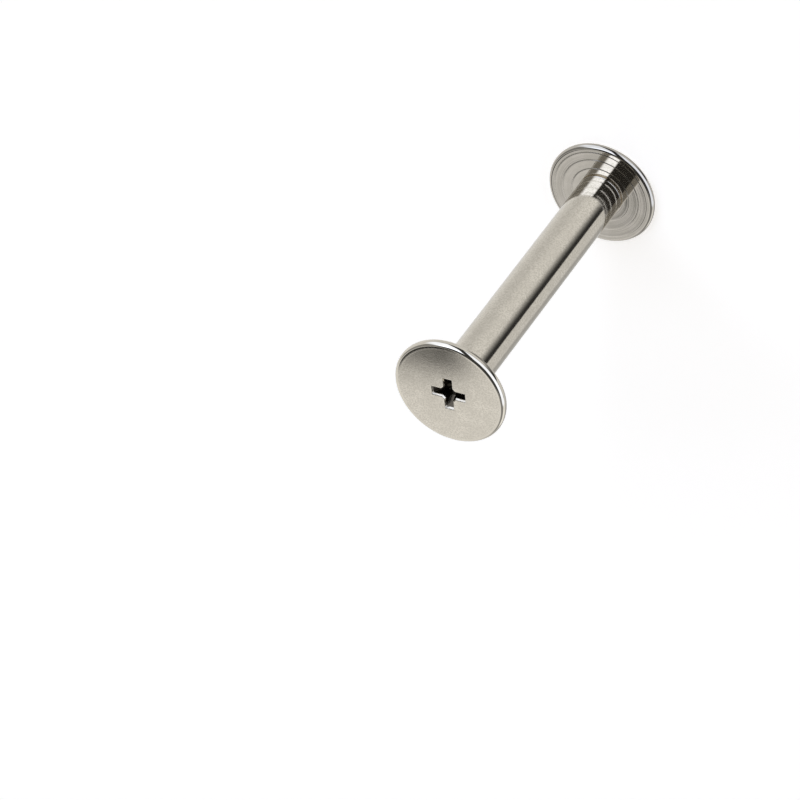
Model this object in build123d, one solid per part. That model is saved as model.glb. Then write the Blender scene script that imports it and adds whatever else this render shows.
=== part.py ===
from build123d import *
import math
import os

# Binding barrel screw, standing on the screw's head: two turned, nickel-plated pieces.
# The barrel is a flat-headed post with a blind tapped hole in its open end.  The screw has
# a flat head, a low boss under it that the barrel's open end seats on, and a threaded shank.
# Axis along +Z, Z = 0 on the screw head's outer face, millimetres.

# Heads, alike on both pieces
head_diameter = 12.3
head_thickness = 1.0
head_edge_radius = 0.22      # rounding of both edges of a head's rim

# Thread: M4 coarse, kept as plain cylinders here
thread_diameter = 4.0
thread_pitch = 0.7
thread_clearance = 0.05      # between shank and tapped hole, on the radius
thread_turns = 13            # turns on the shank
spare_turns = 5              # tapped turns beyond the shank's tip
thread_depth = 0.43          # crest to root of the external thread

# Barrel
barrel_wall = 0.5            # wall outside the thread's major diameter
barrel_length = 35.1         # from under its head to its open end
barrel_root_radius = 0.35    # fillet between post and head
end_chamfer = 0.08           # outer edge of the open end
mouth_chamfer = 0.14         # countersink of the tapped hole
drill_point_angle = 118.0    # bottom of the blind hole

# Boss under the screw's head, a little slimmer than the barrel, and the thread's relief
boss_height = 0.25
boss_reduction = 0.2         # radius below the barrel's
boss_root_chamfer = 0.15
relief_length = 0.7          # undercut between boss and thread
tip_chamfer = 0.45

# Turned terraces in the underside of the screw's head
rim_land_width = 0.85
terrace_width = 1.1
terrace_depth = 0.03
terrace_slope_width = 0.25

# Cross recess, alike in both heads
recess_span = 3.8            # tip to tip of two opposite wings at the face
recess_wing_width = 1.03
recess_core_flat = 0.27      # how far the corner between two wings is cut back
recess_wing_depth = 1.15
recess_floor_span = 2.0
recess_floor_wing_width = 0.7
recess_floor_core_flat = 0.15
recess_point_depth = 0.45    # pointed bottom below the wings
recess_point_scale = 0.12

# Derived sizes
head_radius = head_diameter / 2
edge_radius = min(head_edge_radius, 0.4 * head_thickness)
tapped_radius = thread_diameter / 2
shank_radius = tapped_radius - thread_clearance
relief_radius = shank_radius - thread_depth
barrel_radius = tapped_radius + barrel_wall
boss_radius = barrel_radius - boss_reduction
thread_length = thread_turns * thread_pitch
tapped_depth = thread_length + spare_turns * thread_pitch

# Derived heights
seat_height = head_thickness + boss_height
barrel_underside = seat_height + barrel_length
overall_height = barrel_underside + head_thickness
shank_top = seat_height + thread_length


def turned(profile):
    """Solid of revolution about Z from (radius, height) points of one half section."""
    outline = Polyline(*[(radius, 0, height) for radius, height in profile], close=True)
    return revolve(make_face(outline), Axis.Z)


def ring_edges(solid, radius, height):
    """Circular edges of a solid at one radius and height."""
    def matches(edge):
        near_radius = abs(edge.radius - radius) < 1e-4
        return near_radius and abs(edge.center(CenterOf.BOUNDING_BOX).Z - height) < 1e-4

    return solid.edges().filter_by(GeomType.CIRCLE).filter_by(matches)


def cross_outline(span, wing_width, core_flat, scale=1.0):
    """Corners of a cross with four wings whose inner corners are cut back."""
    tip = scale * span / 2
    side = scale * wing_width / 2
    root = side + scale * core_flat
    wing = [(root, -side), (tip, -side), (tip, side), (root, side)]
    corners = []
    for quarter in range(4):
        turn = math.radians(90 * quarter)
        for x, y in wing:
            corners.append((
                x * math.cos(turn) - y * math.sin(turn),
                x * math.sin(turn) + y * math.cos(turn),
            ))
    return corners


def stacked_solid(outlines):
    """Solid with flat sides between stacked closed outlines that have as many corners each."""
    faces = []
    for lower, upper in zip(outlines, outlines[1:]):
        for k in range(len(lower)):
            n = (k + 1) % len(lower)
            faces.append(Face(Wire.make_polygon([lower[k], lower[n], upper[n], upper[k]])))
    for end in (outlines[0], outlines[-1]):
        faces.append(Face(Wire.make_polygon(end)))
    return Solid(Shell(faces))


def drive_recess():
    """Cutter for the cross recess: sinks below Z = 0, tapering to a point."""
    floor = (recess_floor_span, recess_floor_wing_width, recess_floor_core_flat)
    levels = [
        (-recess_wing_depth - recess_point_depth, cross_outline(*floor, scale=recess_point_scale)),
        (-recess_wing_depth, cross_outline(*floor)),
        (0, cross_outline(recess_span, recess_wing_width, recess_core_flat)),
    ]
    return stacked_solid([[(x, y, height) for x, y in outline] for height, outline in levels])


def make_barrel():
    """Flat-headed post with a blind tapped hole in its open end."""
    post = turned([
        (0, seat_height),
        (barrel_radius - end_chamfer, seat_height),
        (barrel_radius, seat_height + end_chamfer),
        (barrel_radius, barrel_underside),
        (head_radius, barrel_underside),
        (head_radius, overall_height),
        (0, overall_height),
    ])
    post = fillet(ring_edges(post, barrel_radius, barrel_underside), barrel_root_radius)
    rim = ring_edges(post, head_radius, barrel_underside) + ring_edges(post, head_radius, overall_height)
    post = fillet(rim, edge_radius)

    drill_point = tapped_radius / math.tan(math.radians(drill_point_angle / 2))
    hole = turned([
        (0, seat_height),
        (tapped_radius + mouth_chamfer, seat_height),
        (tapped_radius, seat_height + mouth_chamfer),
        (tapped_radius, seat_height + tapped_depth),
        (0, seat_height + tapped_depth + drill_point),
    ])
    return post - hole - Pos(0, 0, overall_height) * drive_recess()


def make_screw():
    """Flat head with a terraced underside, a low boss and a threaded shank."""
    outer_terrace = head_radius - rim_land_width
    inner_terrace = outer_terrace - terrace_width
    first_step = head_thickness - terrace_depth
    second_step = first_step - terrace_depth
    body = turned([
        (0, 0),
        (head_radius, 0),
        (head_radius, head_thickness),
        (outer_terrace, head_thickness),
        (outer_terrace - terrace_slope_width, first_step),
        (inner_terrace, first_step),
        (inner_terrace - terrace_slope_width, second_step),
        (boss_radius + boss_root_chamfer, second_step),
        (boss_radius, second_step + boss_root_chamfer),
        (boss_radius, seat_height),
        (relief_radius, seat_height),
        (relief_radius, seat_height + relief_length - thread_depth),
        (shank_radius, seat_height + relief_length),
        (shank_radius, shank_top - tip_chamfer),
        (shank_radius - tip_chamfer, shank_top),
        (0, shank_top),
    ])
    rim = ring_edges(body, head_radius, 0) + ring_edges(body, head_radius, head_thickness)
    body = fillet(rim, edge_radius)
    return body - Rot(180, 0, 0) * drive_recess()


pieces = {
    "barrel": make_barrel(),
    "screw": make_screw(),
}

os.makedirs("parts", exist_ok=True)
for name, piece in pieces.items():
    piece.label = name
    export_step(piece, f"parts/{name}.step")
    print(f"{name}: volume {piece.volume:.2f} mm3, box {piece.bounding_box().size}")
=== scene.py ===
"""Looks of a binding barrel screw: two turned, nickel-plated halves in a small light studio."""

import logging
import math
import random
from collections.abc import Sequence
from dataclasses import dataclass, field
from enum import Enum
from typing import Any, ClassVar, TypeAlias

import bpy
from mathutils import Matrix, Vector


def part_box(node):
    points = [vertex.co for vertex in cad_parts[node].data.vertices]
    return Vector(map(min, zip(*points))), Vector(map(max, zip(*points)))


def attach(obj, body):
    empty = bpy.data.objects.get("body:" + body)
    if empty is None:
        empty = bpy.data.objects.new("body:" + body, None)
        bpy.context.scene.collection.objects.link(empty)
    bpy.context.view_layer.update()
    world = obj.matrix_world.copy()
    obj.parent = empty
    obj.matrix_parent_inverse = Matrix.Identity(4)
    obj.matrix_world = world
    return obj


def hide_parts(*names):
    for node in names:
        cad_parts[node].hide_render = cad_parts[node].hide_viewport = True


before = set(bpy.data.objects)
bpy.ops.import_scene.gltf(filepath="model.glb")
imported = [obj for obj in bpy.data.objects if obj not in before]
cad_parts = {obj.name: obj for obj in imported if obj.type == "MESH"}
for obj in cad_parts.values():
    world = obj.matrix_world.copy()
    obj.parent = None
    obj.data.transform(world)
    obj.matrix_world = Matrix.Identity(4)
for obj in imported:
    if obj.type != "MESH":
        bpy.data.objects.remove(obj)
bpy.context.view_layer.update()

LOG = logging.getLogger("binding_barrel_screw")
MM = 0.001
SEGMENTS = 480          # around every turned piece
HELIX_STEPS = 56        # along one turn of a thread
VIEW_BEARING = -32.4    # bearing in degrees of the side that faces the camera
WHITE = (1.0, 1.0, 1.0, 1.0)

Socket: TypeAlias = bpy.types.NodeSocket
Rgba: TypeAlias = tuple[float, float, float, float]
Inputs: TypeAlias = dict[str, tuple[str, Any]]


def grey(level: float) -> Rgba:
    """A neutral colour of one brightness."""
    return (level, level, level, 1.0)


# ---------------------------------------------------------------- node trees


class TreeBuilder:
    """Adds nodes to a shader or geometry node tree and joins them.

    Attributes:
        tree: The node tree that gets the nodes.
        count: Number of nodes so far.
    """

    SPACING: ClassVar[tuple[int, int]] = (30, 90)
    ROWS: ClassVar[int] = 7

    def __init__(self, tree: bpy.types.NodeTree) -> None:
        """Keeps the tree that is built.

        Args:
            tree: The node tree that gets the nodes.
        """
        self.tree = tree
        self.count = 0

    def feed(self, socket: Socket, value: Any) -> None:
        """Joins a socket to another one, or sets its constant.

        Args:
            socket: The input socket.
            value: An output socket, or a constant.
        """
        if isinstance(value, bpy.types.NodeSocket):
            self.tree.links.new(value, socket)
        else:
            socket.default_value = value

    def node(self, kind: str, inputs: dict[Any, Any] | None = None, **settings: Any) -> bpy.types.Node:
        """Adds one node.

        Args:
            kind: Blender's identifier of the node.
            inputs: Values or sockets by the input's name or number.
            **settings: Properties of the node itself, set first.

        Returns:
            The new node.
        """
        made = self.tree.nodes.new(kind)
        for name, value in settings.items():
            setattr(made, name, value)
        for key, value in (inputs or {}).items():
            self.feed(made.inputs[key], value)
        across, down = self.SPACING
        made.location = (self.count * across, -(self.count % self.ROWS) * down)
        self.count += 1
        return made

    def math(self, operation: str, *values: Any) -> Socket:
        """Adds a Math node.

        Args:
            operation: Name of the operation.
            *values: Its operands, sockets or numbers.

        Returns:
            The result socket.
        """
        return self.node("ShaderNodeMath", dict(enumerate(values)), operation=operation).outputs[0]

    def plus(self, first: Any, second: Any) -> Socket:
        """Sum of two values."""
        return self.math("ADD", first, second)

    def minus(self, first: Any, second: Any) -> Socket:
        """Difference of two values."""
        return self.math("SUBTRACT", first, second)

    def times(self, first: Any, second: Any) -> Socket:
        """Product of two values."""
        return self.math("MULTIPLY", first, second)

    def over(self, first: Any, second: Any) -> Socket:
        """Quotient of two values."""
        return self.math("DIVIDE", first, second)

    def split(self, vector: Any) -> tuple[Socket, Socket, Socket]:
        """The three parts of a vector."""
        return tuple(self.node("ShaderNodeSeparateXYZ", {0: vector}).outputs)

    def ramp(self, value: Any, start: Any, end: Any, low: Any = 0.0, high: Any = 1.0) -> Socket:
        """Adds a smooth step.

        Args:
            value: The value that is mapped.
            start: Where the step begins.
            end: Where it ends.
            low: Result before the step.
            high: Result after it.

        Returns:
            The mapped value.
        """
        made = self.node(
            "ShaderNodeMapRange",
            {"Value": value, "From Min": start, "From Max": end, "To Min": low, "To Max": high},
            interpolation_type="SMOOTHSTEP",
        )
        return made.outputs[0]

    def blend(self, factor: Any, first: Any, second: Any) -> Socket:
        """Adds a colour mix, through the sockets that a Mix node keeps for colours.

        Args:
            factor: Share of the second colour.
            first: Colour at 0.
            second: Colour at 1.

        Returns:
            The mixed colour.
        """
        return self.node("ShaderNodeMix", {0: factor, 6: first, 7: second}, data_type="RGBA").outputs[2]

    def group(self, tree: bpy.types.NodeTree, inputs: dict[str, Any], label: str = "") -> bpy.types.Node:
        """Places a shader group.

        Args:
            tree: The group.
            inputs: Values or sockets by the input's name.
            label: What it is used for.

        Returns:
            The group's node.
        """
        return self.node("ShaderNodeGroup", inputs, node_tree=tree, label=label)


def new_group(name: str, kind: str, inputs: Inputs, outputs: dict[str, str]) -> TreeBuilder:
    """Starts a node group with named sockets.

    Args:
        name: Name of the group.
        kind: "ShaderNodeTree" or "GeometryNodeTree".
        inputs: Socket type and default by input name.
        outputs: Socket type by output name.

    Returns:
        A builder on the new group.
    """
    tree = bpy.data.node_groups.new(name, kind)
    for label, (socket_type, default) in inputs.items():
        socket = tree.interface.new_socket(name=label, in_out="INPUT", socket_type=socket_type)
        if default is not None:
            socket.default_value = default
    for label, socket_type in outputs.items():
        tree.interface.new_socket(name=label, in_out="OUTPUT", socket_type=socket_type)
    return TreeBuilder(tree)


# ---------------------------------------------------------------- profiles of turned pieces


def line_mesh(name: str, points: Sequence[tuple[float, float]]) -> bpy.types.Mesh:
    """Turns a section into a line of points in the plane of X and Z.

    Args:
        name: Name of the mesh.
        points: Radius and height pairs in millimetres.

    Returns:
        A mesh of points and edges, in metres.
    """
    made = bpy.data.meshes.new(name)
    places = [(radius * MM, 0.0, height * MM) for radius, height in points]
    made.from_pydata(places, [(k, k + 1) for k in range(len(places) - 1)], [])
    return made


@dataclass(frozen=True)
class Cross:
    """Outline of a cross recess at one depth, in millimetres.

    Attributes:
        tip: Distance of a wing's tip from the axis.
        side: Half the width of a wing.
        flat: How far the corner between two wings is cut back.
    """

    tip: float
    side: float
    flat: float

    FLAT_LOSS: ClassVar[float] = 0.586      # of the cut per unit of growth, about 2 - sqrt(2)

    def grown(self, margin: float) -> "Cross":
        """The outline moved outwards by a margin in millimetres."""
        return Cross(self.tip + margin, self.side + margin, self.flat - self.FLAT_LOSS * margin)

    def scaled(self, scale: float) -> "Cross":
        """The outline drawn at another scale."""
        return Cross(scale * self.tip, scale * self.side, scale * self.flat)

    def toward(self, other: "Cross", share: float) -> "Cross":
        """The outline between this one and another.

        Args:
            other: The outline at share 1.
            share: Place between the two.

        Returns:
            The outline in between.
        """
        ends = ((self.tip, other.tip), (self.side, other.side), (self.flat, other.flat))
        return Cross(*(first + (second - first) * share for first, second in ends))


@dataclass(frozen=True)
class Ring:
    """One ring of points of a turned piece, in millimetres.

    Attributes:
        radius: Distance from the axis.
        height: Height of the ring.
        polish: 0 for a satin finish and 1 for a bright one.
        cross: Cross outline that the ring follows, or None for a circle.
        roundness: Share of the circle where the ring lies between cross and circle.
        crown: How much the ring sinks per square millimetre of radius.
        recess_shade: 0 for plain plating and 1 for painted shade, which darkens the plating inside a
            recess.
    """

    radius: float
    height: float
    polish: float = 0.0
    cross: Cross | None = None
    roundness: float = 0.0
    crown: float = 0.0
    recess_shade: float = 0.0


@dataclass
class Profile:
    """Half section of a turned piece, gathered point by point.

    Attributes:
        rings: Finished rings, in order along the section.
        corners: Radius, height, rounding and finish of the corners that aren't rings yet.
    """

    rings: list[Ring] = field(default_factory=list)
    corners: list[tuple[float, float, float, float]] = field(default_factory=list)

    ARC_STEP: ClassVar[float] = math.radians(9)
    MARGIN: ClassVar[float] = 0.25          # of the rounding, between an arc's end and its close ring
    ROOM: ClassVar[float] = 0.3             # of the straight part that a close ring may take

    def corner(self, radius: float, height: float, rounding: float = 0.0, polish: float = 0.0) -> None:
        """Adds a corner of the section.

        Args:
            radius: Distance from the axis in millimetres.
            height: Height in millimetres.
            rounding: Radius of the rounding at this corner.
            polish: Finish from here to the next corner.
        """
        self.corners.append((radius, height, rounding, polish))

    def close_corners(self) -> None:
        """Turns the gathered corners into rings, with an arc and two close rings at each rounding."""
        last = len(self.corners) - 1
        for place, (radius, height, rounding, polish) in enumerate(self.corners):
            if 0 < place < last and rounding > 0:
                self.round_corner(place)
            else:
                self.rings.append(Ring(radius, height, polish))
        self.corners.clear()

    def round_corner(self, place: int) -> None:
        """Adds the rings of one rounded corner.

        Args:
            place: Number of the corner.
        """
        radius, height, rounding, polish = self.corners[place]
        polish_before = self.corners[place - 1][3]
        here = Vector((radius, height))
        before = Vector(self.corners[place - 1][:2]) - here
        after = Vector(self.corners[place + 1][:2]) - here
        arrive, leave = before.normalized(), after.normalized()
        turn = math.pi - arrive.angle(leave)
        reach = rounding * math.tan(turn / 2)
        centre = here + (arrive + leave).normalized() * (rounding / math.cos(turn / 2))
        start, end = here + arrive * reach, here + leave * reach
        first, final = start - centre, end - centre
        signed = math.atan2(first.x * final.y - first.y * final.x, first.dot(final))
        room = self.ROOM * (min(before.length, after.length) - reach)
        margin = min(self.MARGIN * rounding, room)
        steps = max(2, round(turn / self.ARC_STEP))
        points = [(start + arrive * margin, polish_before)]
        for step in range(steps + 1):
            point = centre + Matrix.Rotation(signed * step / steps, 2) @ first
            points.append((point, polish_before if step * 2 < steps else polish))
        points.append((end + leave * margin, polish))
        self.rings.extend(Ring(point.x, point.y, shine) for point, shine in points)

    def mesh(self, name: str) -> bpy.types.Mesh:
        """Turns the section into a line of points that carry each ring's sizes.

        Args:
            name: Name of the mesh.

        Returns:
            A mesh of points and edges, in metres.
        """
        made = line_mesh(name, [(ring.radius, ring.height) for ring in self.rings])
        plain = Cross(1.0, 1.0, 0.0)
        shapes = [ring.cross or plain for ring in self.rings]
        columns = {
            "polish": [ring.polish for ring in self.rings],
            "tip": [shape.tip * MM for shape in shapes],
            "side": [shape.side * MM for shape in shapes],
            "core": [(2 * shape.side + shape.flat) * MM for shape in shapes],
            "round_share": [ring.roundness if ring.cross else 1.0 for ring in self.rings],
            "crown": [ring.crown / MM for ring in self.rings],
            # Share of painted shade per ring, set inside the recess
            "recess_shade": [ring.recess_shade for ring in self.rings],
        }
        for label, values in columns.items():
            made.attributes.new(label, "FLOAT", "POINT").data.foreach_set("value", values)
        return made


@dataclass(frozen=True)
class DriveRecess:
    """Cross recess of a head, in millimetres.

    Attributes:
        mouth: Outline at the face.
        floor: Outline at the foot of the wings.
        wing_depth: Depth of the wings.
        point_depth: Further depth of the pointed bottom.
        point_scale: Size of the outline next to the point, as a share of the floor's.
        lip: Rounding between face and walls.
        bevel: Width and depth of the slope that the punch has drawn in above the walls.
        circle: Radius of the circle round the recess, where the plain face begins.
    """

    mouth: Cross = Cross(1.9, 0.515, 0.27)
    floor: Cross = Cross(1.0, 0.35, 0.15)
    wing_depth: float = 1.15
    point_depth: float = 0.45
    point_scale: float = 0.12
    lip: float = 0.03
    bevel: tuple[float, float] = (0.095, 0.18)
    circle: float = 2.6

    # Where the rings lie along each part of the section, from the bottom outwards.
    POINT_RINGS: ClassVar[tuple[float, ...]] = (0.0, 0.25, 0.5, 0.75, 0.93)
    WALL_RINGS: ClassVar[tuple[float, ...]] = (0.0, 0.03, 0.15, 0.3, 0.5, 0.7, 0.9, 0.97)
    BEVEL_RINGS: ClassVar[tuple[float, ...]] = (0.0, 0.08, 0.5, 0.92)
    LIP_STEPS: ClassVar[int] = 5
    FACE_MARGINS: ClassVar[tuple[float, ...]] = (0.07, 0.12, 0.2)
    ROUND_RINGS: ClassVar[tuple[float, ...]] = (0.35, 0.7, 1.0)
    # Painted shade at half strength where the drawn bevel meets the walls
    SHOULDER_RECESS_SHADE: ClassVar[float] = 0.5

    def rings(self, face_height: float, inward: float, crown: float) -> list[Ring]:
        """Rings from the bottom of the recess out to a circle on the face.

        Args:
            face_height: Height of the face.
            inward: +1 if the recess sinks upwards, -1 if downwards.
            crown: How much the face sinks per square millimetre of radius.

        Returns:
            Rings in order, starting on the axis.
        """
        # The point and the walls of the recess carry painted shade at full strength, drawn darker to stand
        # in for the shade inside the recess
        made = [Ring(0.0, face_height + inward * (self.wing_depth + self.point_depth), recess_shade=1.0)]

        def add(depth: float, outline: Cross, recess_shade: float = 0.0, roundness: float = 0.0) -> None:
            """Adds one ring at a depth below the face."""
            height = face_height + inward * depth
            made.append(Ring(self.circle, height, 0.0, outline, roundness, -inward * crown, recess_shade))

        tiny = self.floor.scaled(self.point_scale)
        for share in self.POINT_RINGS:
            add(self.wing_depth + self.point_depth * (1 - share), tiny.toward(self.floor, share), 1.0)
        width, drawn = self.bevel
        shoulder = self.mouth.grown(-width)
        for share in self.WALL_RINGS:
            depth = self.lip + drawn + (self.wing_depth - self.lip - drawn) * (1 - share)
            add(depth, self.floor.toward(shoulder, share), 1.0)
        for share in self.BEVEL_RINGS:
            # Only the bevel's foot gets painted shade, at part strength
            recess_shade = 0.0 if share else self.SHOULDER_RECESS_SHADE
            add(self.lip + drawn * (1 - share), shoulder.toward(self.mouth, share), recess_shade)
        for step in range(self.LIP_STEPS + 1):
            angle = math.pi / 2 * step / self.LIP_STEPS
            add(self.lip * (1 - math.sin(angle)), self.mouth.grown(self.lip * (1 - math.cos(angle))))
        for margin in self.FACE_MARGINS:
            add(0.0, self.mouth.grown(self.lip + margin))
        outer = self.mouth.grown(self.lip + self.FACE_MARGINS[-1])
        for share in self.ROUND_RINGS:
            add(0.0, outer, 0.0, share)
        return made


@dataclass(frozen=True)
class RimForm:
    """Section of a head's rim, from the outer face to the underside, in millimetres.

    The tilt of the surface grows from 0 on the outer face to 180 degrees on the underside.

    Attributes:
        bends: Tilt in degrees where each arc ends, and the arc's radius.
        straight: Length of the upright part between the bulging ones.
        arc_step: Length of the rim between two rings, roughly.
    """

    bends: tuple[tuple[float, float], ...]
    straight: float = 0.05
    arc_step: float = 0.024

    UPRIGHT: ClassVar[float] = 90.0
    FEWEST_STEPS: ClassVar[int] = 4

    def points(self, start_tilt: float) -> list[tuple[float, float]]:
        """Points along the rim, as distance inside its widest place and depth below the face.

        Args:
            start_tilt: Tilt of the outer face where the rim begins, in degrees.

        Returns:
            The points from the outer face to the underside.
        """
        out, depth, tilt = 0.0, 0.0, start_tilt
        made = [(out, depth)]
        for end, radius in self.bends:
            count = max(self.FEWEST_STEPS, round(radius * math.radians(end - tilt) / self.arc_step))
            turn = (end - tilt) / count
            length = radius * math.radians(turn)
            for _ in range(count):
                middle = math.radians(tilt + turn / 2)
                out += length * math.cos(middle)
                depth += length * math.sin(middle)
                tilt += turn
                made.append((out, depth))
            if end == self.UPRIGHT:
                depth += self.straight
                made.append((out, depth))
        widest = max(point[0] for point in made)
        return [(widest - reach, down) for reach, down in made]


@dataclass(frozen=True)
class Ridge:
    """Ridge of a metric thread, outside a core or inside a bore, in millimetres.

    Attributes:
        root: Radius of the wall that the ridge stands on.
        crest: Radius of its crest.
        crest_width: Width of the crest between its unrounded corners.
        shoulder: How far the rounded corners reach past the crest's width.
        turns: Length of the ridge in turns.
        start_turn: Where it begins round the axis, in turns from +X.
        start_pitches: How much higher than the bore's ridge it lies, in pitches.
    """

    root: float
    crest: float
    crest_width: float
    shoulder: float
    turns: float
    start_turn: float = 0.0
    start_pitches: float = 0.0

    PITCH: ClassVar[float] = 0.7
    FLANK_SLOPE: ClassVar[float] = math.tan(math.radians(30))
    FOOT_SINK: ClassVar[float] = 0.06       # of the section's foot into the wall
    END_SINK: ClassVar[float] = 0.05        # of the ridge where it has run out
    RUN_OUT: ClassVar[float] = 0.7          # turns in which it fades at each end
    LEAD_IN: ClassVar[float] = 0.3          # from the seat to the bore's first ridge
    CORNER_DROP: ClassVar[float] = 0.015
    CORNER_INSET: ClassVar[float] = 0.012

    def outward(self) -> float:
        """+1 for a ridge on a core and -1 for one in a bore."""
        return math.copysign(1.0, self.crest - self.root)

    def mesh(self, name: str) -> bpy.types.Mesh:
        """Turns the ridge's section into a closed line of points.

        Args:
            name: Name of the mesh.

        Returns:
            The mesh in metres.
        """
        out, half = self.outward(), self.crest_width / 2
        foot = half + abs(self.crest - self.root) * self.FLANK_SLOPE
        side = [
            (self.root - out * self.FOOT_SINK, foot),
            (self.root, foot),
            (self.crest - out * self.CORNER_DROP, half + self.shoulder),
            (self.crest, half - self.CORNER_INSET),
        ]
        outline = side + [(radius, -height) for radius, height in reversed(side)] + side[:1]
        return line_mesh(name, [(radius, -out * height) for radius, height in outline])

    def sizes(self, seat: float) -> dict[str, float]:
        """Inputs of the helix for this ridge.

        Args:
            seat: Height where the barrel's end sits on the boss.

        Returns:
            The helix's inputs by name, in metres and turns.
        """
        start = seat + self.LEAD_IN + (self.start_pitches + self.start_turn) * self.PITCH
        return {
            "Turns": self.turns,
            "Pitch": self.PITCH * MM,
            "Start Height": start * MM,
            "Start Turn": self.start_turn,
            "Root Radius": (self.root - self.outward() * self.END_SINK) * MM,
            "Run Out Turns": self.RUN_OUT,
            "Steps": int(self.turns * HELIX_STEPS),
        }


# ---------------------------------------------------------------- geometry node tools


class Sweep:
    """Geometry tree that repeats a section's points along a path and skins them.

    Attributes:
        build: Builder of the tree.
        given: The tree's inputs by name.
        row: Number of the section's point.
        share: Place along the path, from 0 to 1.
        reach: Radius of the section's point.
        height: Height of the section's point.
    """

    def __init__(self, name: str, step_input: str, inputs: Inputs) -> None:
        """Builds the tree once.

        Args:
            name: Name of the tree.
            step_input: Name of the input with the number of steps along the path.
            inputs: Socket type and default of the tree's own inputs by name.
        """
        common: Inputs = {
            "Section": ("NodeSocketGeometry", None),
            "Weld": ("NodeSocketFloat", 0.0000002),
            "Material": ("NodeSocketMaterial", None),
        }
        outputs = {"Skin": "NodeSocketGeometry"}
        self.build = build = new_group(name, "GeometryNodeTree", common | inputs, outputs)
        self.given = build.node("NodeGroupInput").outputs
        section, steps = self.given["Section"], self.given[step_input]
        size = build.node("GeometryNodeAttributeDomainSize", {0: section}, component="MESH")
        rows = size.outputs["Point Count"]
        grid = build.node("GeometryNodeMeshGrid", {"Vertices X": build.plus(steps, 1), "Vertices Y": rows})
        index = build.node("GeometryNodeInputIndex").outputs[0]
        self.row = build.math("MODULO", index, rows)
        column = build.math("FLOOR", build.over(build.plus(index, 0.5), rows))
        self.share = build.over(column, steps)
        where = build.node("GeometryNodeInputPosition").outputs[0]
        self.reach, _, self.height = build.split(self.sampled(where, "FLOAT_VECTOR"))
        geometry = self.shaped(grid.outputs["Mesh"])
        for kind, extra in (
            ("GeometryNodeMergeByDistance", {"Distance": self.given["Weld"]}),
            ("GeometryNodeSetShadeSmooth", {"Shade Smooth": True}),
            ("GeometryNodeRealizeInstances", {}),
            ("GeometryNodeSetMaterial", {"Material": self.given["Material"]}),
        ):
            geometry = build.node(kind, {"Geometry": geometry, **extra}).outputs[0]
        build.node("NodeGroupOutput", {0: geometry})

    def sampled(self, value: Socket, data_type: str) -> Socket:
        """Reads a value of the section's point.

        Args:
            value: The value as a field.
            data_type: Blender's name of its type.

        Returns:
            The value at the point of this row.
        """
        inputs = {0: self.given["Section"], "Value": value, "Index": self.row}
        return self.build.node("GeometryNodeSampleIndex", inputs, data_type=data_type).outputs[0]

    def carried(self, label: str) -> Socket:
        """Reads a named value that the section's point carries."""
        named = self.build.node("GeometryNodeInputNamedAttribute", {"Name": label}, data_type="FLOAT")
        return self.sampled(named.outputs[0], "FLOAT")

    def placed(self, geometry: Socket, radius: Socket, angle: Socket, height: Socket) -> Socket:
        """Moves every point to its place round the axis.

        Args:
            geometry: The geometry so far.
            radius: Distance from the axis.
            angle: Angle from +X in radians.
            height: Height.

        Returns:
            The moved geometry.
        """
        build = self.build
        across = build.times(radius, build.math("COSINE", angle))
        along = build.times(radius, build.math("SINE", angle))
        point = build.node("ShaderNodeCombineXYZ", {0: across, 1: along, 2: height}).outputs[0]
        return build.node("GeometryNodeSetPosition", {"Geometry": geometry, "Position": point}).outputs[0]

    def shaped(self, grid: Socket) -> Socket:
        """Shapes the grid. Each kind of sweep has its own way.

        Args:
            grid: A grid with the section's points along Y and the steps along X.

        Returns:
            The shaped geometry.
        """
        raise NotImplementedError


class Lathe(Sweep):
    """Turns a section about the axis and lets rings follow a cross outline."""

    SMALLEST_SINE: ClassVar[float] = 0.001

    def __init__(self) -> None:
        """Builds the tree once."""
        super().__init__("lathe", "Segments", {
            "Segments": ("NodeSocketInt", SEGMENTS),
            "Corner Rounding": ("NodeSocketFloat", 0.00005),
        })

    def shaped(self, grid: Socket) -> Socket:
        """Turns the grid about the axis.

        Args:
            grid: A grid with the section's points along Y and the steps along X.

        Returns:
            The turned geometry, with each ring's polish and painted recess shade.
        """
        build, rounding = self.build, self.given["Corner Rounding"]
        labels = ("tip", "side", "core", "round_share", "crown")
        tip, side, core, share, crown = (self.carried(label) for label in labels)
        angle = build.times(self.share, math.tau)
        quarter = build.math("FLOORED_MODULO", build.plus(angle, math.pi / 4), math.pi / 2)
        off = build.math("ABSOLUTE", build.minus(quarter, math.pi / 4))
        cosine = build.math("COSINE", off)
        sine = build.math("MAXIMUM", build.math("SINE", off), self.SMALLEST_SINE)
        wing = build.math("SMOOTH_MIN", build.over(tip, cosine), build.over(side, sine), rounding)
        middle = build.over(core, build.plus(cosine, sine))
        outline = build.math("SMOOTH_MAX", wing, middle, rounding)
        radius = build.plus(build.times(outline, build.minus(1.0, share)), build.times(self.reach, share))
        sink = build.times(build.times(radius, radius), crown)
        # Passes each ring's polish and its painted recess shade on to the material
        for label in ("polish", "recess_shade"):
            inputs = {"Geometry": grid, "Name": label, "Value": self.carried(label)}
            store = "GeometryNodeStoreNamedAttribute"
            grid = build.node(store, inputs, data_type="FLOAT", domain="POINT").outputs[0]
        return self.placed(grid, radius, angle, build.minus(self.height, sink))


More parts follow.
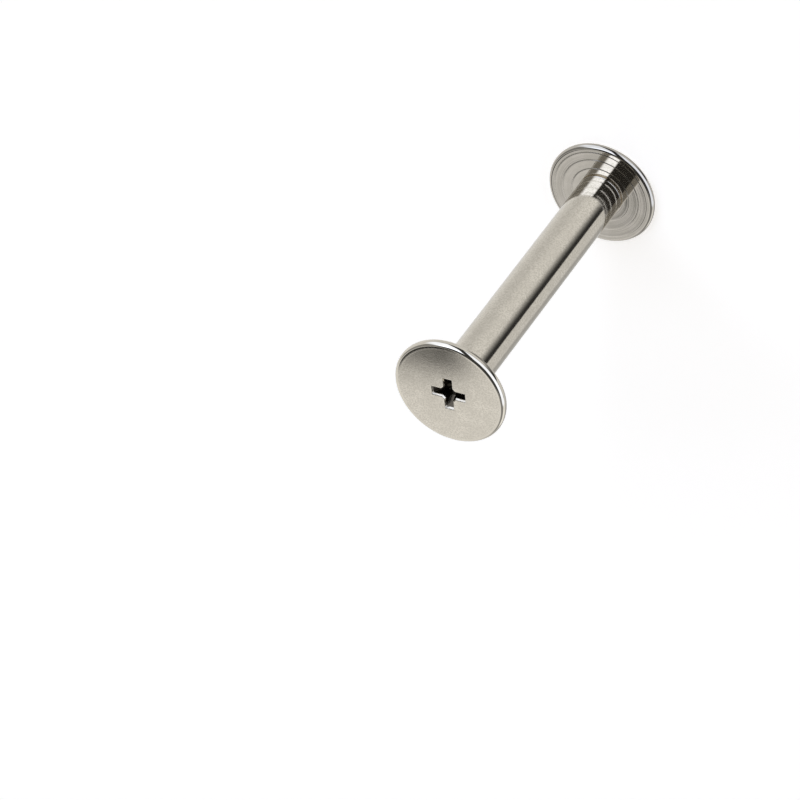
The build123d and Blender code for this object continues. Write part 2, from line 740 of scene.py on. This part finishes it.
class Helix(Sweep):
    """Lays a thread's ridge along a helix, with a run-out at both ends."""

    FADE_POWER: ClassVar[float] = 0.6

    def __init__(self) -> None:
        """Builds the tree once."""
        super().__init__("thread_ridge", "Steps", {
            "Turns": ("NodeSocketFloat", 10.0),
            "Pitch": ("NodeSocketFloat", 0.0007),
            "Start Height": ("NodeSocketFloat", 0.0),
            "Start Turn": ("NodeSocketFloat", 0.0),
            "Root Radius": ("NodeSocketFloat", 0.0015),
            "Run Out Turns": ("NodeSocketFloat", 0.6),
            "Steps": ("NodeSocketInt", 500),
        })

    def shaped(self, grid: Socket) -> Socket:
        """Winds the grid round the axis.

        Args:
            grid: A grid with the section's points along Y and the steps along X.

        Returns:
            The ridge.
        """
        build, given = self.build, self.given
        turns, root = given["Turns"], given["Root Radius"]
        turn = build.times(self.share, turns)
        run_out = build.over(build.math("MINIMUM", turn, build.minus(turns, turn)), given["Run Out Turns"])
        even = build.math("MAXIMUM", build.math("MINIMUM", run_out, 1.0), 0.0)
        strength = build.math("POWER", even, self.FADE_POWER)
        radius = build.plus(root, build.times(build.minus(self.reach, root), strength))
        angle = build.times(build.plus(turn, given["Start Turn"]), math.tau)
        climb = build.plus(given["Start Height"], build.times(turn, given["Pitch"]))
        return self.placed(grid, radius, angle, build.plus(climb, build.times(self.height, strength)))


def grow(
    name: str, section: bpy.types.Mesh, sweep: Sweep, material: bpy.types.Material, sizes: dict[str, float]
) -> bpy.types.Object:
    """Runs a sweep on a section and keeps the result as a plain mesh.

    Args:
        name: Name of the piece.
        section: The section's points.
        sweep: The geometry tree.
        material: Finish of the piece.
        sizes: Values of the tree's inputs by name.

    Returns:
        A mesh object at the origin.
    """
    seed = bpy.data.objects.new(f"{name}_section", section)
    bpy.context.collection.objects.link(seed)
    modifier = seed.modifiers.new("shape", "NODES")
    modifier.node_group = sweep.build.tree
    sockets = {
        item.name: item.identifier
        for item in sweep.build.tree.interface.items_tree
        if item.item_type == "SOCKET" and item.in_out == "INPUT"
    }
    for label, value in {"Material": material, **sizes}.items():
        modifier[sockets[label]] = value
    graph = bpy.context.evaluated_depsgraph_get()
    made = bpy.data.meshes.new_from_object(seed.evaluated_get(graph))
    seed.modifiers.remove(modifier)
    bpy.data.objects.remove(seed)
    made.name = name
    if signed_volume(made) < 0:
        made.flip_normals()
    piece = bpy.data.objects.new(name, made)
    bpy.context.collection.objects.link(piece)
    return piece


def signed_volume(mesh: bpy.types.Mesh) -> float:
    """Volume of a closed mesh in cubic metres, negative where it is inside out.

    Args:
        mesh: The mesh.

    Returns:
        The volume with its sign.
    """
    mesh.calc_loop_triangles()
    total = 0.0
    for triangle in mesh.loop_triangles:
        a, b, c = (mesh.vertices[k].co for k in triangle.vertices)
        total += a.dot(b.cross(c))
    return total / 6


# ---------------------------------------------------------------- finishes


class SharedEffects:
    """Shader groups that the finishes share.

    Attributes:
        marks: Marks of the turning tool.
        grain: Grain of the plating.
    """

    MARK_DETAIL: ClassVar[float] = 2.0
    CLOUD_DETAIL: ClassVar[float] = 4.0
    PIT_DETAIL: ClassVar[float] = 1.0
    CLOUD_STEP: ClassVar[tuple[float, float]] = (0.3, 0.7)

    def __init__(self) -> None:
        """Builds each group once."""
        self.marks = self.turning_marks()
        self.grain = self.plating_grain()

    def turning_marks(self) -> bpy.types.NodeTree:
        """Rings left by the turning tool, round the axis on faces and on posts alike.

        Returns:
            A group that puts out a height.
        """
        inputs: Inputs = {
            "Position": ("NodeSocketVector", None),
            "Rings per Metre": ("NodeSocketFloat", 9000.0),
            "Depth": ("NodeSocketFloat", 0.5),
        }
        build = new_group("turning_marks", "ShaderNodeTree", inputs, {"Height": "NodeSocketFloat"})
        given = build.node("NodeGroupInput").outputs
        x, y, z = build.split(given["Position"])
        radius = build.math("SQRT", build.plus(build.times(x, x), build.times(y, y)))
        place = build.times(build.minus(radius, z), given["Rings per Metre"])
        inputs = {"W": place, "Scale": 1.0, "Detail": self.MARK_DETAIL}
        noise = build.node("ShaderNodeTexNoise", inputs, noise_dimensions="1D").outputs[0]
        build.node("NodeGroupOutput", {0: build.times(build.minus(noise, 0.5), given["Depth"])})
        return build.tree

    def plating_grain(self) -> bpy.types.NodeTree:
        """Fine cloudiness and pitting of a nickel plating.

        Returns:
            A group that puts out a cloud mask and a pit mask.
        """
        inputs: Inputs = {
            "Position": ("NodeSocketVector", None),
            "Cloud Scale": ("NodeSocketFloat", 650.0),
            "Pit Scale": ("NodeSocketFloat", 5500.0),
        }
        outputs = {"Cloud": "NodeSocketFloat", "Pits": "NodeSocketFloat"}
        build = new_group("plating_grain", "ShaderNodeTree", inputs, outputs)
        given = build.node("NodeGroupInput").outputs
        where = given["Position"]
        cloud, pits = (
            build.node("ShaderNodeTexNoise", {"Vector": where, "Scale": given[size], "Detail": detail})
            for size, detail in (("Cloud Scale", self.CLOUD_DETAIL), ("Pit Scale", self.PIT_DETAIL))
        )
        soft = build.ramp(cloud.outputs[0], *self.CLOUD_STEP)
        build.node("NodeGroupOutput", {0: soft, 1: pits.outputs[0]})
        return build.tree


@dataclass(frozen=True)
class NickelFinish:
    """A nickel plating whose polish and painted recess shade follow the piece's own attributes.

    Attributes:
        name: Name of the material.
        light: Colour of clean plating.
        dull: Colour of its cloudier places.
        speck: Colour of the satin's fine specks.
        satin_roughness: Roughness where polish is 0.
        pit_depth: Strength of the fine pits.
        recess_shade_colour: Painted shade colour for the inside of a recess.
        bright_roughness: Roughness where polish is 1.
        recess_shade_roughness: Roughness that the painted recess shade adds.
        cloud_roughness: Lowest share of the roughness, and what a cloud adds to the share.
        speck_step: Where the specks begin and end in the pit mask.
        mark_depth: Strength of the turning marks.
        bump_distance: Height of the marks and pits at strength 1, in metres.
    """

    name: str
    light: Rgba
    dull: Rgba
    speck: Rgba
    satin_roughness: float
    pit_depth: float
    # Painted shade colour for the inside of the recess
    recess_shade_colour: Rgba = (0.1, 0.085, 0.065, 1.0)
    bright_roughness: float = 0.05
    recess_shade_roughness: float = 0.16
    cloud_roughness: tuple[float, float] = (0.9, 0.2)
    speck_step: tuple[float, float] = (0.35, 0.68)
    mark_depth: float = 0.35
    bump_distance: float = 0.000001

    def material(self, effects: SharedEffects) -> bpy.types.Material:
        """Builds the material.

        Args:
            effects: The shared shader groups.

        Returns:
            The new material.
        """
        made = bpy.data.materials.new(self.name)
        made.use_nodes = True
        made.node_tree.nodes.clear()
        build = TreeBuilder(made.node_tree)
        position = build.node("ShaderNodeTexCoord").outputs["Object"]
        polish = build.node("ShaderNodeAttribute", attribute_name="polish").outputs["Fac"]
        # Mask of the painted shade inside the recess, carried by the mesh
        recess_shade = build.node("ShaderNodeAttribute", attribute_name="recess_shade").outputs["Fac"]
        grain = build.group(effects.grain, {"Position": position})
        marks = build.group(effects.marks, {"Position": position, "Depth": self.mark_depth})
        cloud, pits = grain.outputs["Cloud"], grain.outputs["Pits"]
        satin = build.minus(1.0, polish)
        specks = build.times(satin, build.ramp(pits, *self.speck_step))
        clean = build.blend(specks, build.blend(cloud, self.light, self.dull), self.speck)
        # Painted shade: the plating turns dark where the recess mask is set
        colour = build.blend(recess_shade, clean, self.recess_shade_colour)
        base = build.times(satin, self.satin_roughness)
        base = build.plus(base, build.times(polish, self.bright_roughness))
        rough = build.plus(base, build.times(recess_shade, self.recess_shade_roughness))
        lowest, swing = self.cloud_roughness
        varied = build.times(rough, build.plus(lowest, build.times(cloud, swing)))
        height = build.plus(marks.outputs["Height"], build.times(pits, self.pit_depth))
        bump = build.node(
            "ShaderNodeBump", {"Strength": 1.0, "Distance": self.bump_distance, "Height": height}
        )
        shader = build.node(
            "ShaderNodeBsdfPrincipled",
            {"Base Color": colour, "Metallic": 1.0, "Roughness": varied, "Normal": bump.outputs[0]},
        )
        build.node("ShaderNodeOutputMaterial", {0: shader.outputs[0]})
        return made


# ---------------------------------------------------------------- the two halves


@dataclass
class Half:
    """What the barrel and the screw have in common, sizes in millimetres.

    Attributes:
        node: Name of the CAD node and its body, and the first word of its pieces' names.
        finish: Material of the half.
        slot: The record's material slot; not used.
        lathe: Tree that turns sections.
        helix: Tree that lays threads.
        head_thickness: Thickness of the head.
        crown: How much lower a head's outer face is at the rim than in the middle.
        face_rings: Number of even parts between the recess's circle and the rim.
        recess: Cross recess of the head.
    """

    node: str
    finish: bpy.types.Material
    slot: str
    lathe: Lathe
    helix: Helix
    head_thickness: float = 1.0
    crown: float = 0.07
    face_rings: int = 15
    recess: DriveRecess = DriveRecess()

    def limits(self) -> tuple[float, float, float]:
        """Lowest and highest height and the head's radius of the CAD node, in millimetres."""
        low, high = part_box(self.node)
        return low.z / MM, high.z / MM, (high.x - low.x) / 2 / MM

    def head_rings(
        self, rim: RimForm, face: float, inward: float, radius: float, under: float
    ) -> list[Ring]:
        """Rings of a head, from the bottom of its recess over the face and round the rim.

        Args:
            rim: Section of the rim.
            face: Height of the face's middle.
            inward: +1 if the solid lies above the face, -1 if below.
            radius: Radius of the head.
            under: Height of the underside.

        Returns:
            The rings in order, ending at the underside's edge.
        """
        slope = self.crown / radius ** 2
        edge = rim.points(math.degrees(math.atan(2 * self.crown / radius)))
        made = self.recess.rings(face, inward, slope)
        start, flat_edge = self.recess.circle, radius - edge[0][0]
        for step in range(1, self.face_rings):
            reach = start + (flat_edge - start) * step / self.face_rings
            made.append(Ring(reach, face + inward * slope * reach ** 2))
        top = made[-1].height
        scale = abs(under - top) / edge[-1][1]
        made.extend(Ring(radius - inset, top + inward * down * scale, 1.0) for inset, down in edge[1:])
        return made

    def make(self, label: str, body: Profile, ridge: Ridge, seat: float) -> list[bpy.types.Object]:
        """Turns the body, lays its thread and hands both to the frame.

        Args:
            label: Last word of the body's name.
            body: Section of the body.
            ridge: Form of the thread.
            seat: Height where the barrel's end sits on the boss.

        Returns:
            The two pieces.
        """
        section, thread = body.mesh(f"{self.node}_section"), ridge.mesh(f"{self.node}_thread_section")
        shell = grow(f"{self.node}_{label}", section, self.lathe, self.finish, {})
        wound = grow(f"{self.node}_thread", thread, self.helix, self.finish, ridge.sizes(seat))
        return [self.settle(shell, True), self.settle(wound, False)]

    def settle(self, piece: bpy.types.Object, replaces: bool) -> bpy.types.Object:
        """Hands a finished piece to the frame.

        Args:
            piece: The piece.
            replaces: Whether it stands for the CAD node.

        Returns:
            The same piece.
        """
        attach(piece, self.node)
        if replaces:
            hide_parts(self.node)
        LOG.info("%s: %d faces", piece.name, len(piece.data.polygons))
        return piece


@dataclass
class Barrel(Half):
    """Flat-headed post with a blind tapped hole in its open end, sizes in millimetres.

    Attributes:
        rim: Section of the head's rim.
        ridge: Ridge of the tapped thread.
        wall: Thickness of the post's wall outside the bore.
        end_rounding: Rounding of the open end's outer edge.
        root_fillet: Fillet between post and head.
        tapped_depth: Depth of the bore without its point.
        drill_point: Height of the bore's pointed end.
        bore_rounding: Rounding at the foot of the bore's wall.
        mouth: Width and depth of the bore's countersink.
        mouth_roundings: Rounding of its inner and of its outer edge.
        mouth_polish: Finish of the countersink.
    """

    rim: RimForm = RimForm(((58.0, 0.34), (90.0, 0.5), (115.0, 0.9), (180.0, 0.1)))
    ridge: Ridge = Ridge(root=2.0, crest=1.62, crest_width=0.175, shoulder=0.008, turns=17.0)
    wall: float = 0.5
    end_rounding: float = 0.08
    root_fillet: float = 0.35
    tapped_depth: float = 12.6
    drill_point: float = 1.2017
    bore_rounding: float = 0.04
    mouth: float = 0.14
    mouth_roundings: tuple[float, float] = (0.03, 0.02)
    mouth_polish: float = 0.6

    def build(self) -> list[bpy.types.Object]:
        """Builds the post with its head, and the thread in its hole.

        Returns:
            The two pieces.
        """
        low, high, head_radius = self.limits()
        under = high - self.head_thickness
        bore = self.ridge.root
        post = bore + self.wall
        head = self.head_rings(self.rim, high, -1.0, head_radius, under)
        body = Profile()
        inner, outer = self.mouth_roundings
        body.corner(0.0, low + self.tapped_depth + self.drill_point)
        body.corner(bore, low + self.tapped_depth, self.bore_rounding)
        body.corner(bore, low + self.mouth, inner)
        body.corner(bore + self.mouth, low, outer, self.mouth_polish)
        body.corner(post, low, self.end_rounding)
        body.corner(post, under, self.root_fillet)
        body.corner(head[-1].radius, under, polish=1.0)
        body.close_corners()
        body.rings.extend(reversed(head[:-1]))
        return self.make("post", body, self.ridge, low)


@dataclass
class Screw(Half):
    """Flat-headed screw with a low boss and a threaded shank, sizes in millimetres.

    Attributes:
        rim: Section of the head's rim.
        ridge: Ridge of the shank's thread.
        drop: How much lower the underside is at the boss than at the rim.
        risers: Fine steps between rim and boss: place as a share of the way, and height.
        riser_run: Width of a riser's slope, as a share of its height.
        turned_rings: Number of turned rings on the underside.
        groove: Greatest depth of a turned ring.
        wave: Depth of the slow waves, as a share of the drop and the risers together, and their number.
        seed: Seed of the rings' depths.
        boss_radius: Radius of the boss.
        boss_fillet: Fillet between boss and underside.
        boss_gap: Plain width between the fillet and the turned rings.
        boss_rounding: Rounding of the boss's upper edge.
        core_rounding: Rounding at the core's foot and below its chamfer.
        core_polish: Finish of the core.
        tip_chamfer: Width and height of the chamfer at the shank's tip.
        tip_rounding: Rounding of the chamfer's upper edge.
    """

    rim: RimForm = RimForm(((60.0, 0.42), (90.0, 0.35), (118.0, 0.38), (180.0, 0.38)))
    ridge: Ridge = Ridge(
        root=1.52, crest=1.95, crest_width=0.0875, shoulder=0.006, turns=11.5,
        start_turn=-0.25, start_pitches=1.5,
    )
    drop: float = 0.008
    risers: tuple[tuple[float, float], ...] = ((0.12, 0.004), (0.42, 0.011), (0.74, 0.011))
    riser_run: float = 0.45
    turned_rings: int = 44
    groove: float = 0.0004
    wave: tuple[float, int] = (0.012, 3)
    seed: int = 11
    boss_radius: float = 2.3
    boss_fillet: float = 0.15
    boss_gap: float = 0.1
    boss_rounding: float = 0.02
    core_rounding: float = 0.05
    core_polish: float = 0.5
    tip_chamfer: float = 0.16
    tip_rounding: float = 0.03

    def underside(self, body: Profile, edge: float) -> None:
        """Adds the slow slope, the risers and the fine turned rings under the head, from the rim inwards.

        Args:
            body: The section that gets them.
            edge: Radius where the rim's rounding ends.
        """
        dice = random.Random(self.seed)
        span = edge - (self.boss_radius + self.boss_fillet + self.boss_gap)
        risers = {round(share * self.turned_rings): rise for share, rise in self.risers}
        fall = self.drop + sum(risers.values())
        depth, waves = self.wave
        lift = 0.0
        for place in range(self.turned_rings + 1):
            share = place / self.turned_rings
            waved = share - depth * math.sin(share * math.tau * waves)
            height = self.head_thickness - fall * waved + lift
            if 0 < place < self.turned_rings:
                height -= dice.uniform(0.0, self.groove)
            radius = edge - span * share
            body.corner(radius, height, polish=1.0)
            if place in risers:
                rise = risers[place]
                lift += rise
                body.corner(radius - self.riser_run * rise, height + rise, polish=1.0)

    def build(self) -> list[bpy.types.Object]:
        """Builds the head with its boss and core, and the thread round the core.

        Returns:
            The two pieces.
        """
        low, high, head_radius = self.limits()
        root, tip = self.ridge.root, self.tip_chamfer
        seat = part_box("barrel")[0].z / MM
        head = self.head_rings(self.rim, low, 1.0, head_radius, self.head_thickness)
        body = Profile()
        body.rings.extend(head[:-1])
        self.underside(body, head[-1].radius)
        body.corner(self.boss_radius, self.head_thickness - self.drop, self.boss_fillet, 1.0)
        body.corner(self.boss_radius, seat, self.boss_rounding, 1.0)
        body.corner(root, seat, self.core_rounding, self.core_polish)
        body.corner(root, high - tip, self.core_rounding, self.core_polish)
        body.corner(root - tip, high, self.tip_rounding, self.core_polish)
        body.corner(0.0, high)
        body.close_corners()
        return self.make("body", body, self.ridge, seat)


# ---------------------------------------------------------------- studio


@dataclass(frozen=True)
class Card:
    """A light or dark card of the studio, placed by directions seen from the object, in degrees.

    Attributes:
        name: What it is.
        start: Bearing where it begins; 0 is towards -Y and 90 towards +X.
        end: Bearing where it ends, counted upwards from start.
        low: Lowest elevation.
        high: Highest elevation.
        light: Brightness, 1 for white.
        soft: Width of the fade at its start, its end, its foot and its top.
        lean: Shift of its start and of its end per degree of elevation.
        coolness: 0 for neutral, 1 for the cool white of a softbox.
    """

    name: str
    start: float
    end: float
    low: float
    high: float
    light: float
    soft: tuple[float, float, float, float]
    lean: tuple[float, float] = (0.0, 0.0)
    coolness: float = 0.0

    SIZES: ClassVar[tuple[str, ...]] = (
        "Start", "End", "Low", "High", "Soft Start", "Soft End", "Soft Low", "Soft High",
        "Lean Start", "Lean End",
    )
    COOL_TINT: ClassVar[tuple[float, float, float]] = (0.0, 0.1, 0.33)

    def colour(self) -> Rgba:
        """Brightness with its tint."""
        return (*(self.light * (1 + extra * self.coolness) for extra in self.COOL_TINT), 1.0)

    def sizes(self) -> dict[str, float]:
        """The card's sizes by the names of the mask's inputs."""
        return dict(zip(self.SIZES, (self.start, self.end, self.low, self.high, *self.soft, *self.lean)))


@dataclass(frozen=True)
class Spot:
    """A round dark place of the studio, with a soft edge, in degrees.

    Attributes:
        bearing: Bearing of its middle.
        rise: Elevation of its middle.
        inner: Radius of its even part.
        outer: Radius where it ends.
        light: Brightness.
    """

    bearing: float
    rise: float
    inner: float
    outer: float
    light: float

    def direction(self) -> tuple[float, float, float]:
        """Unit vector towards its middle."""
        turn, rise = math.radians(self.bearing), math.radians(self.rise)
        return (math.sin(turn) * math.cos(rise), -math.cos(turn) * math.cos(rise), math.sin(rise))


class Surroundings(Enum):
    """Where the light comes from in general, as brightness."""

    ABOVE = 0.80
    BELOW = 0.65


@dataclass(frozen=True)
class Viewpoint:
    """Camera on the near head's side, above it and rolled on its own axis.

    Attributes:
        bearing: Bearing of the camera, in degrees as for a card.
        rise: Angle at which it looks down, in degrees.
        roll: Turn on its own axis, in degrees.
        distance: Distance from its aim in millimetres.
        aim_height: Height of the aim in millimetres.
        aim_side: How far the aim lies to the level camera's right of the axis, in millimetres.
        focal_length: Focal length in millimetres.
        sensor_width: Width of the sensor in millimetres.
        clip: Nearest and farthest distance that is seen, in metres.
    """

    bearing: float = VIEW_BEARING
    rise: float = 41.8915
    roll: float = -142.1854
    distance: float = 358.084
    aim_height: float = 41.9604
    aim_side: float = 3.463
    focal_length: float = 162.0
    sensor_width: float = 36.0
    clip: tuple[float, float] = (0.01, 20.0)

    def place(self) -> Matrix:
        """Works out where the camera is: up to the aim, round, tilted, back from the aim and rolled.

        Returns:
            The camera's place and turn, in metres.
        """
        aim = Matrix.Translation((0.0, 0.0, self.aim_height * MM))
        turn = Matrix.Rotation(math.radians(self.bearing), 4, "Z")
        tilt = Matrix.Rotation(math.radians(90.0 - self.rise), 4, "X")
        back = Matrix.Translation((self.aim_side * MM, 0.0, self.distance * MM))
        return aim @ turn @ tilt @ back @ Matrix.Rotation(math.radians(self.roll), 4, "Z")

    def build(self) -> None:
        """Makes the camera and gives it the scene."""
        lens = bpy.data.cameras.new("camera")
        lens.lens = self.focal_length
        lens.sensor_width = self.sensor_width
        lens.clip_start, lens.clip_end = self.clip
        camera = bpy.data.objects.new("camera", lens)
        camera.matrix_world = self.place()
        bpy.context.collection.objects.link(camera)
        bpy.context.scene.camera = camera


@dataclass
class Studio:
    """Floor, camera and the cards that the plating mirrors.

    Attributes:
        cards: Light and dark cards, later ones in front.
        spots: Round dark places, in front of the cards.
        view: The camera.
        floor_reach: Half the floor's side in metres.
        floor_glow: Part of the floor's white that shadows don't take away.
        floor_white: Reflectance of the floor.
        horizon: Elevations between which the light turns from below to above, as sines.
    """

    cards: Sequence[Card]
    spots: Sequence[Spot] = ()
    view: Viewpoint = Viewpoint()
    floor_reach: float = 1.2
    floor_glow: Rgba = (0.64, 0.62, 0.59, 1.0)
    floor_white: float = 0.9
    horizon: tuple[float, float] = (-0.05, 0.05)

    @staticmethod
    def card_group() -> bpy.types.NodeTree:
        """Mask of one card.

        Returns:
            A shader group from a direction to a mask.
        """
        inputs: Inputs = {"Direction": ("NodeSocketVector", None)}
        inputs.update({label: ("NodeSocketFloat", 1.0) for label in Card.SIZES})
        build = new_group("studio_card", "ShaderNodeTree", inputs, {"Mask": "NodeSocketFloat"})
        given = build.node("NodeGroupInput").outputs
        x, y, z = build.split(given["Direction"])
        bearing = build.math("DEGREES", build.math("ARCTAN2", x, build.times(y, -1.0)))
        middle = build.times(build.plus(given["Start"], given["End"]), 0.5)
        off = build.math("WRAP", build.minus(bearing, middle), 180.0, -180.0)
        half = build.times(build.minus(given["End"], given["Start"]), 0.5)
        rise = build.math("DEGREES", build.math("ARCSINE", z))

        def inside(value: Any, limit: Any, soft: Any) -> Socket:
            """Mask of one side: 1 well above the limit and 0 well below it."""
            spread = build.times(soft, 0.5)
            return build.ramp(value, build.minus(limit, spread), build.plus(limit, spread))

        border = build.times(half, -1.0)
        after_start = build.minus(off, build.times(rise, given["Lean Start"]))
        before_end = build.minus(build.times(rise, given["Lean End"]), off)
        start = inside(after_start, border, given["Soft Start"])
        end = inside(before_end, border, given["Soft End"])
        low = inside(rise, given["Low"], given["Soft Low"])
        high = inside(build.times(rise, -1.0), build.times(given["High"], -1.0), given["Soft High"])
        build.node("NodeGroupOutput", {0: build.times(build.times(start, end), build.times(low, high))})
        return build.tree

    def light_world(self) -> None:
        """Builds the world from the cards, white for the camera."""
        world = bpy.data.worlds.new("studio_light")
        bpy.context.scene.world = world
        world.use_nodes = True
        world.node_tree.nodes.clear()
        build = TreeBuilder(world.node_tree)
        direction = build.node("ShaderNodeTexCoord").outputs["Generated"]
        above = build.ramp(build.split(direction)[2], *self.horizon)
        colour = build.blend(above, grey(Surroundings.BELOW.value), grey(Surroundings.ABOVE.value))
        group = self.card_group()
        for card in self.cards:
            mask = build.group(group, {"Direction": direction, **card.sizes()}, card.name).outputs[0]
            colour = build.blend(mask, colour, card.colour())
        for spot in self.spots:
            vectors = {0: direction, 1: spot.direction()}
            along = build.node("ShaderNodeVectorMath", vectors, operation="DOT_PRODUCT").outputs["Value"]
            away = build.math("DEGREES", build.math("ARCCOSINE", along))
            mask = build.ramp(away, spot.inner, spot.outer, 1.0, 0.0)
            colour = build.blend(mask, colour, grey(spot.light))
        camera = build.node("ShaderNodeLightPath").outputs["Is Camera Ray"]
        shown = build.blend(camera, colour, WHITE)
        background = build.node("ShaderNodeBackground", {"Color": shown, "Strength": 1.0})
        build.node("ShaderNodeOutputWorld", {0: background.outputs[0]})

    def lay_floor(self) -> None:
        """Lays a white floor that keeps soft shadows."""
        mesh = bpy.data.meshes.new("floor")
        reach = self.floor_reach
        corners = [(-reach, -reach, 0.0), (reach, -reach, 0.0), (reach, reach, 0.0), (-reach, reach, 0.0)]
        mesh.from_pydata(corners, [], [(0, 1, 2, 3)])
        material = bpy.data.materials.new("floor_white")
        material.use_nodes = True
        material.node_tree.nodes.clear()
        build = TreeBuilder(material.node_tree)
        plain = build.node("ShaderNodeBsdfDiffuse", {"Color": grey(self.floor_white)}).outputs[0]
        glow = build.node("ShaderNodeEmission", {"Color": self.floor_glow, "Strength": 1.0}).outputs[0]
        both = build.node("ShaderNodeAddShader", {0: plain, 1: glow}).outputs[0]
        camera = build.node("ShaderNodeLightPath").outputs["Is Camera Ray"]
        shown = build.node("ShaderNodeMixShader", {0: camera, 1: plain, 2: both})
        build.node("ShaderNodeOutputMaterial", {0: shown.outputs[0]})
        mesh.materials.append(material)
        floor = bpy.data.objects.new("floor", mesh)
        bpy.context.collection.objects.link(floor)
        floor.visible_glossy = False

    def build(self) -> None:
        """Builds the whole studio."""
        self.light_world()
        self.lay_floor()
        self.view.build()
        bpy.context.scene.view_settings.view_transform = "Standard"


def studio_cards() -> list[Card]:
    """Cards that give the plating its light and dark bands.

    Returns:
        The cards, later ones in front.
    """
    cards: list[Card] = []

    def add(
        name: str, first: float, last: float, low: float, high: float, light: float,
        soft: tuple[float, float, float, float], lean: tuple[float, float] = (0.0, 0.0),
        coolness: float = 0.0,
    ) -> None:
        """Adds a card by angles counted clockwise off the viewing side.

        Args:
            name: What it is.
            first: Angle of its end, which is its first side clockwise.
            last: Angle of its start, which is its last side clockwise.
            low: Lowest elevation.
            high: Highest elevation.
            light: Brightness.
            soft: Widths of the four fades, as in Card.
            lean: Shifts of start and end, as in Card.
            coolness: Tint, as in Card.
        """
        start, end = VIEW_BEARING - last, VIEW_BEARING - first
        cards.append(Card(name, start, end, low, high, light, soft, lean, coolness))

    add("far table", -180, -90, -90, -4, 0.76, (70, 1, 1, 8))
    add("grey table", -96, -50, -90, -4, 0.61, (56, 70, 1, 8))
    add("near table", -40, 26, -90, -4, 0.73, (20, 50, 1, 8))
    add("right table", 26, 112, -90, -4, 0.65, (16, 6, 1, 8))
    add("right table end", 112, 150, -90, -4, 0.42, (16, 14, 1, 8))
    add("dark table side", 26.5, 59, -75, -30, 0.03, (3, 43, 1, 6))
    add("under table", -30, 70, -90, -60, 0.22, (20, 20, 1, 6))
    add("dark ceiling", -180, 180, 58, 91, 0.045, (0.1, 0.1, 7, 1))
    add("dark left side", -150, -80, 12, 62, 0.26, (16, 30, 10, 8))
    add("grey right side", 72, 152, 4, 62, 0.24, (30, 12, 8, 6))
    add("dark front", -70, 90, -34, 60, 0.035, (8, 10, 6, 4))
    add("left softbox", -86, -30, -28, 56, 1.18, (4, 20, 8, 6), (-0.1, -0.1), 0.7)
    add("left key light", -84, -28, 38, 56, 1.85, (3, 24, 5, 6), coolness=1)
    add("dark gap", -36, -11, -36, 22, 0.035, (4, 4, 2, 8), (-0.4, -0.67))
    add("right softbox", -13, 96, -28, 27, 1.18, (8, 5, 8, 5), (0.0, -0.4), 0.7)
    add("right glow", 96, 132, -26, 14, 0.95, (10, 16, 8, 10))
    return cards


DARK_PLACES = (
    Spot(VIEW_BEARING + 171.0, 46.0, 4.7, 7.4, 0.04),
    Spot(VIEW_BEARING + 178.9, 44.7, 0.9, 1.7, 0.01),
)
BARREL_NICKEL = NickelFinish(
    name="barrel_nickel",
    light=(0.85, 0.797, 0.695, 1.0),
    dull=(0.775, 0.725, 0.63, 1.0),
    speck=(0.70, 0.652, 0.565, 1.0),
    satin_roughness=0.105,
    pit_depth=0.5,
)
SCREW_NICKEL = NickelFinish(
    name="screw_nickel",
    light=(0.65, 0.61, 0.55, 1.0),
    dull=(0.60, 0.565, 0.50, 1.0),
    speck=(0.56, 0.52, 0.46, 1.0),
    satin_roughness=0.14,
    pit_depth=0.15,
)


def main() -> None:
    """Builds the studio and the two halves, in order."""
    logging.basicConfig(level=logging.INFO, format="%(name)s: %(message)s")
    Studio(studio_cards(), DARK_PLACES).build()
    effects = SharedEffects()
    lathe, helix = Lathe(), Helix()
    barrel_nickel, screw_nickel = BARREL_NICKEL.material(effects), SCREW_NICKEL.material(effects)
    Barrel("barrel", barrel_nickel, "barrel_nickel", lathe, helix).build()
    Screw("screw", screw_nickel, "screw_nickel", lathe, helix).build()


if __name__ == "__main__":
    main()
